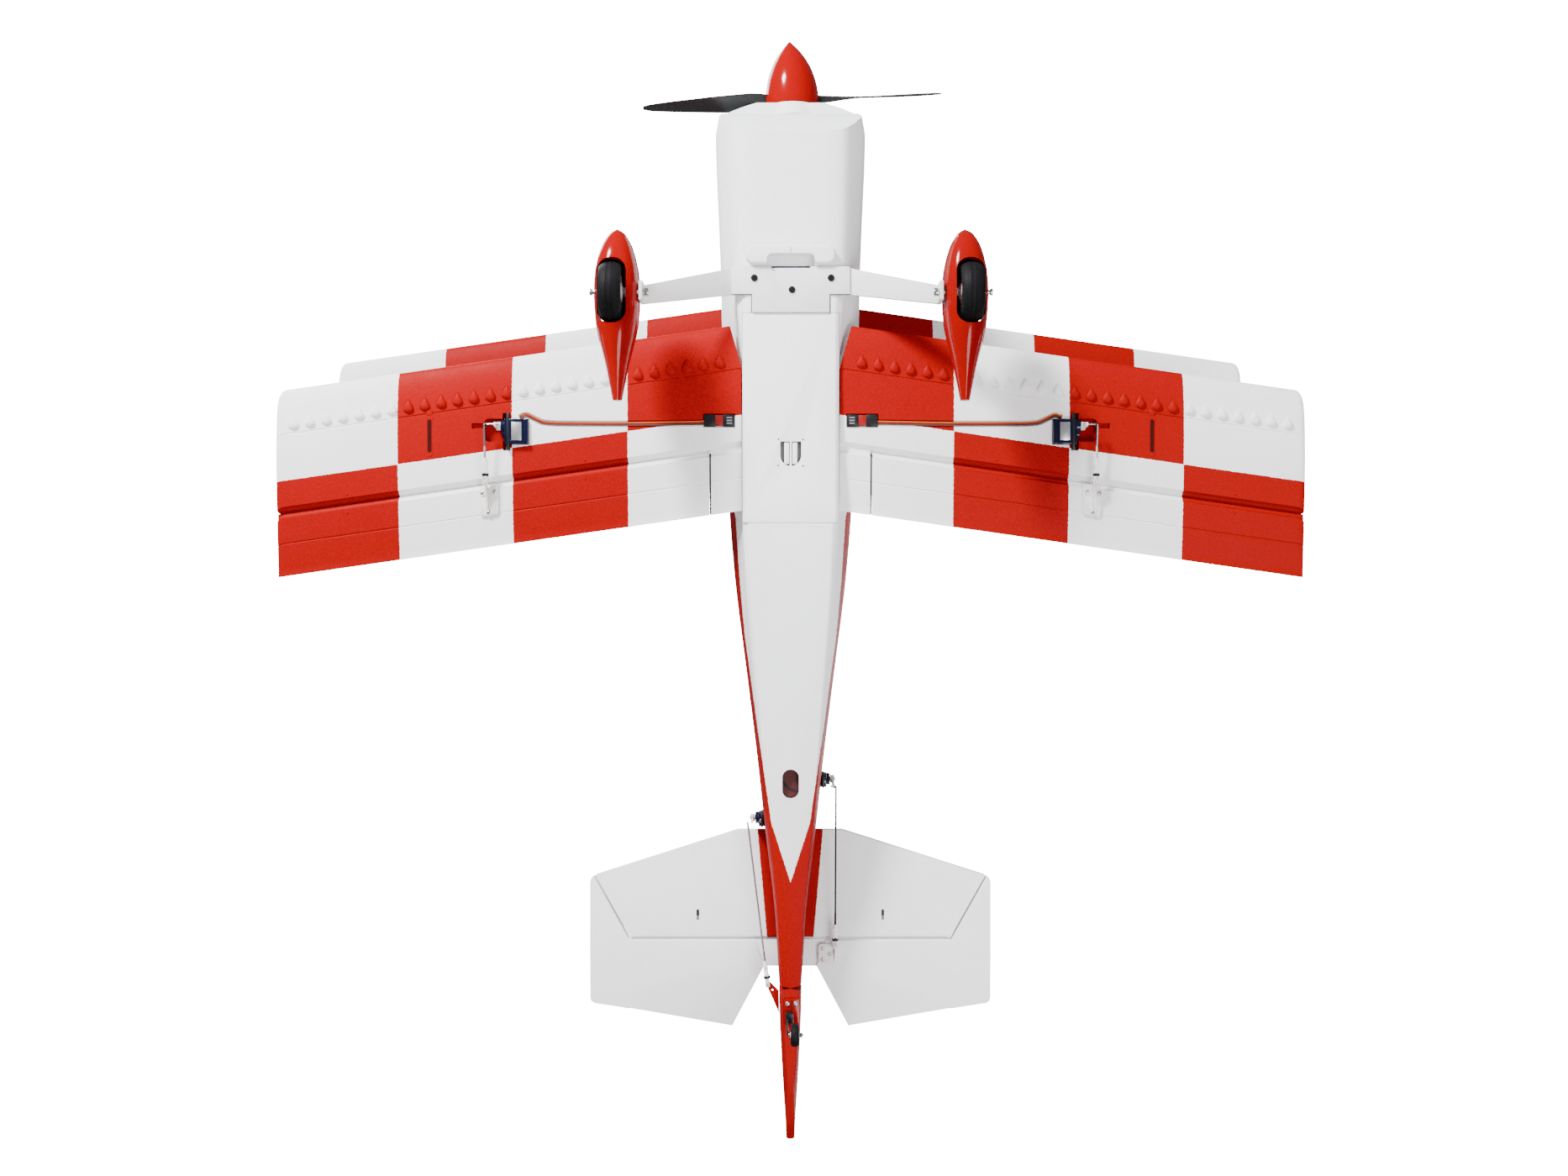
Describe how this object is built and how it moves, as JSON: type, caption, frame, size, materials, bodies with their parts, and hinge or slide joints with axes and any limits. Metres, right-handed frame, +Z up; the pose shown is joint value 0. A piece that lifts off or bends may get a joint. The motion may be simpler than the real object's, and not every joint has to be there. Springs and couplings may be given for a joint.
{
  "type": "radio controlled aerobatic biplane",
  "caption": "Foam radio-controlled aerobatic biplane with faired wheels, linked ailerons, working tail surfaces and a lift-off hatch.",
  "frame": {"origin": "middle of the bounding box on the ground, with the aeroplane standing on its two main wheels and its tailwheel", "axes": "+X towards the pilot's left wing tip, +Y towards the tail, +Z up; the nose points up by 10.9 degrees"},
  "size_m": [0.95, 1.0634, 0.324],
  "materials": {
    "foam_white": "satin skin of moulded foam beads",
    "foam_red": "satin red paint on moulded foam beads",
    "foam_chequer": "moulded foam painted in red and white squares",
    "red_gloss": "glossy moulded red",
    "white_plastic": "smooth white moulding",
    "black_plastic": "black moulding with a soft sheen",
    "servo_case": "translucent dark blue case",
    "tyre_rubber": "smooth black rubber",
    "steel": "bright wire and turned screws",
    "black_wire": "black coated wire",
    "carbon": "wrapped carbon tube",
    "motor_metal": "dark anodised can",
    "stator_metal": "stacked plates with copper windings",
    "battery_wrap": "blue shrink wrap over cells",
    "lead_wire": "three joined wires, brown, red and orange",
    "canopy_tint": "dark smoked glaze"
  },
  "bodies": {
    "power_drive": {"motor_bell": "motor_metal", "propeller": "black_plastic", "spinner": "red_gloss"},
    "hatch": {"hatch": "foam_red", "canopy": "canopy_tint"},
    "wheel_left": {"tyre_left": "tyre_rubber", "wheel_hub_left": "white_plastic"},
    "lower_aileron_left": {"lower_aileron_left": "foam_chequer", "aileron_horn_left": "white_plastic"},
    "upper_aileron_left": {"upper_aileron_left": "foam_chequer"},
    "aileron_link_left": {"aileron_link_left": "steel"},
    "aileron_servo_arm_left": {"aileron_servo_arm_left": "white_plastic"},
    "aileron_pushrod_left": {"aileron_pushrod_left": "steel"},
    "wheel_right": {"tyre_right": "tyre_rubber", "wheel_hub_right": "white_plastic"},
    "lower_aileron_right": {"lower_aileron_right": "foam_chequer", "aileron_horn_right": "white_plastic"},
    "upper_aileron_right": {"upper_aileron_right": "foam_chequer"},
    "aileron_link_right": {"aileron_link_right": "steel"},
    "aileron_servo_arm_right": {"aileron_servo_arm_right": "white_plastic"},
    "aileron_pushrod_right": {"aileron_pushrod_right": "steel"},
    "elevator": {"elevator": "foam_white", "elevator_horn": "white_plastic"},
    "elevator_servo_arm": {"elevator_servo_arm": "white_plastic"},
    "elevator_pushrod": {"elevator_pushrod": "black_wire"},
    "rudder": {"rudder": "foam_red", "rudder_horn": "red_gloss", "tailwheel_bracket": "black_plastic", "tailwheel_wire": "black_wire"},
    "rudder_servo_arm": {"rudder_servo_arm": "white_plastic"},
    "rudder_pushrod": {"rudder_pushrod": "steel"},
    "tailwheel": {"tailwheel": "tyre_rubber"},
    "airframe": {"fuselage": "foam_white", "cowl": "foam_white", "belly_pan": "foam_white", "gear_cover": "white_plastic", "gear_strut": "white_plastic", "wing_tube": "carbon", "upper_wing": "foam_chequer", "stabilizer": "foam_white", "elevator_servo": "servo_case", "rudder_servo": "servo_case", "motor_stator": "stator_metal", "battery": "battery_wrap", "speed_controller": "black_plastic", "receiver": "black_plastic", "wheel_pant_left": "red_gloss", "axle_left": "steel", "lower_wing_left": "foam_chequer", "interplane_strut_left": "foam_white", "cabane_strut_left": "foam_white", "aileron_servo_left": "servo_case", "servo_lead_left": "lead_wire", "wheel_pant_right": "red_gloss", "axle_right": "steel", "lower_wing_right": "foam_chequer", "interplane_strut_right": "foam_white", "cabane_strut_right": "foam_white", "aileron_servo_right": "servo_case", "servo_lead_right": "lead_wire"}
  },
  "joints": [
    {"name": "propeller_spin", "type": "hinge", "parent": "airframe", "child": "power_drive", "pos_m": [0.0023, -0.46793, 0.22267], "axis": [-0.0489, -0.9807, 0.1895], "continuous": true},
    {"name": "hatch_lift", "type": "slide", "parent": "airframe", "child": "hatch", "axis": [0, 0.1897, 0.9818], "range_m": [0, 0.06]},
    {"name": "wheel_left_spin", "type": "hinge", "parent": "airframe", "child": "wheel_left", "pos_m": [0.1555, -0.29307, 0.02593], "axis": [1, 0, 0], "continuous": true},
    {"name": "aileron_left", "type": "hinge", "parent": "airframe", "child": "lower_aileron_left", "pos_m": [0.275, -0.11942, 0.08914], "axis": [0.9898, 0.14, -0.0271], "range_deg": [-25, 25]},
    {"name": "upper_aileron_left_hinge", "type": "hinge", "parent": "airframe", "child": "upper_aileron_left", "pos_m": [0.275, -0.13545, 0.29085], "axis": [0.9898, 0.14, -0.0271], "range_deg": [-25.01, 25.01]},
    {"name": "aileron_link_left_pin", "type": "hinge", "parent": "lower_aileron_left", "child": "aileron_link_left", "pos_m": [0.322, -0.08286, 0.09024], "axis": [0.9898, 0.14, -0.0271], "range_deg": [-27.16, 27.16]},
    {"name": "aileron_servo_left_shaft", "type": "hinge", "parent": "airframe", "child": "aileron_servo_arm_left", "pos_m": [0.259, -0.17185, 0.09194], "axis": [1, 0, 0], "range_deg": [-25.01, 25.01]},
    {"name": "aileron_pushrod_left_pin", "type": "hinge", "parent": "lower_aileron_left", "child": "aileron_pushrod_left", "pos_m": [0.28, -0.12175, 0.0733], "axis": [0.9898, 0.14, -0.0271], "range_deg": [-25.01, 25.01]},
    {"name": "wheel_right_spin", "type": "hinge", "parent": "airframe", "child": "wheel_right", "pos_m": [-0.1555, -0.29307, 0.02593], "axis": [1, 0, 0], "continuous": true},
    {"name": "aileron_right", "type": "hinge", "parent": "airframe", "child": "lower_aileron_right", "pos_m": [-0.275, -0.11942, 0.08914], "axis": [0.9898, -0.14, 0.0271], "range_deg": [-25, 25]},
    {"name": "upper_aileron_right_hinge", "type": "hinge", "parent": "airframe", "child": "upper_aileron_right", "pos_m": [-0.275, -0.13545, 0.29085], "axis": [0.9898, -0.14, 0.0271], "range_deg": [-25.01, 25.01]},
    {"name": "aileron_link_right_pin", "type": "hinge", "parent": "lower_aileron_right", "child": "aileron_link_right", "pos_m": [-0.322, -0.08286, 0.09024], "axis": [0.9898, -0.14, 0.0271], "range_deg": [-27.16, 27.16]},
    {"name": "aileron_servo_right_shaft", "type": "hinge", "parent": "airframe", "child": "aileron_servo_arm_right", "pos_m": [-0.259, -0.17185, 0.09194], "axis": [1, 0, 0], "range_deg": [-25.01, 25.01]},
    {"name": "aileron_pushrod_right_pin", "type": "hinge", "parent": "lower_aileron_right", "child": "aileron_pushrod_right", "pos_m": [-0.28, -0.12175, 0.0733], "axis": [0.9898, -0.14, 0.0271], "range_deg": [-25.01, 25.01]},
    {"name": "elevator_hinge", "type": "hinge", "parent": "airframe", "child": "elevator", "pos_m": [0, 0.33404, 0.0983], "axis": [1, 0, 0], "range_deg": [-25, 25]},
    {"name": "elevator_servo_shaft", "type": "hinge", "parent": "airframe", "child": "elevator_servo_arm", "pos_m": [0.0303, 0.17258, 0.10607], "axis": [1, 0, 0], "range_deg": [-25.01, 25.01]},
    {"name": "elevator_pushrod_pin", "type": "hinge", "parent": "elevator", "child": "elevator_pushrod", "pos_m": [0.044, 0.33656, 0.0825], "axis": [1, 0, 0], "range_deg": [-25.01, 25.01]},
    {"name": "rudder_hinge", "type": "hinge", "parent": "airframe", "child": "rudder", "pos_m": [0, 0.36683, 0.06243], "axis": [0, 0.1897, 0.9818], "range_deg": [-25, 25]},
    {"name": "rudder_servo_shaft", "type": "hinge", "parent": "airframe", "child": "rudder_servo_arm", "pos_m": [-0.0264, 0.21451, 0.11222], "axis": [1, 0, 0], "range_deg": [-25.01, 25.01]},
    {"name": "rudder_pushrod_pin", "type": "hinge", "parent": "rudder", "child": "rudder_pushrod", "pos_m": [-0.022, 0.36683, 0.06243], "axis": [0, 0.1897, 0.9818], "range_deg": [-25.01, 25.01]},
    {"name": "tailwheel_spin", "type": "hinge", "parent": "rudder", "child": "tailwheel", "pos_m": [0.004, 0.39345, 0.01043], "axis": [1, 0, 0], "continuous": true}
  ],
  "couplings": [
    {"joint": "upper_aileron_left_hinge", "follows": "aileron_left", "ratio": 1},
    {"joint": "aileron_link_left_pin", "follows": "aileron_left", "ratio": -1.086},
    {"joint": "aileron_servo_left_shaft", "follows": "aileron_left", "ratio": 1},
    {"joint": "aileron_pushrod_left_pin", "follows": "aileron_left", "ratio": -1},
    {"joint": "upper_aileron_right_hinge", "follows": "aileron_right", "ratio": 1},
    {"joint": "aileron_link_right_pin", "follows": "aileron_right", "ratio": -1.086},
    {"joint": "aileron_servo_right_shaft", "follows": "aileron_right", "ratio": 1},
    {"joint": "aileron_pushrod_right_pin", "follows": "aileron_right", "ratio": -1},
    {"joint": "elevator_servo_shaft", "follows": "elevator_hinge", "ratio": 1},
    {"joint": "elevator_pushrod_pin", "follows": "elevator_hinge", "ratio": -1},
    {"joint": "rudder_servo_shaft", "follows": "rudder_hinge", "ratio": -1},
    {"joint": "rudder_pushrod_pin", "follows": "rudder_hinge", "ratio": -1}
  ]
}
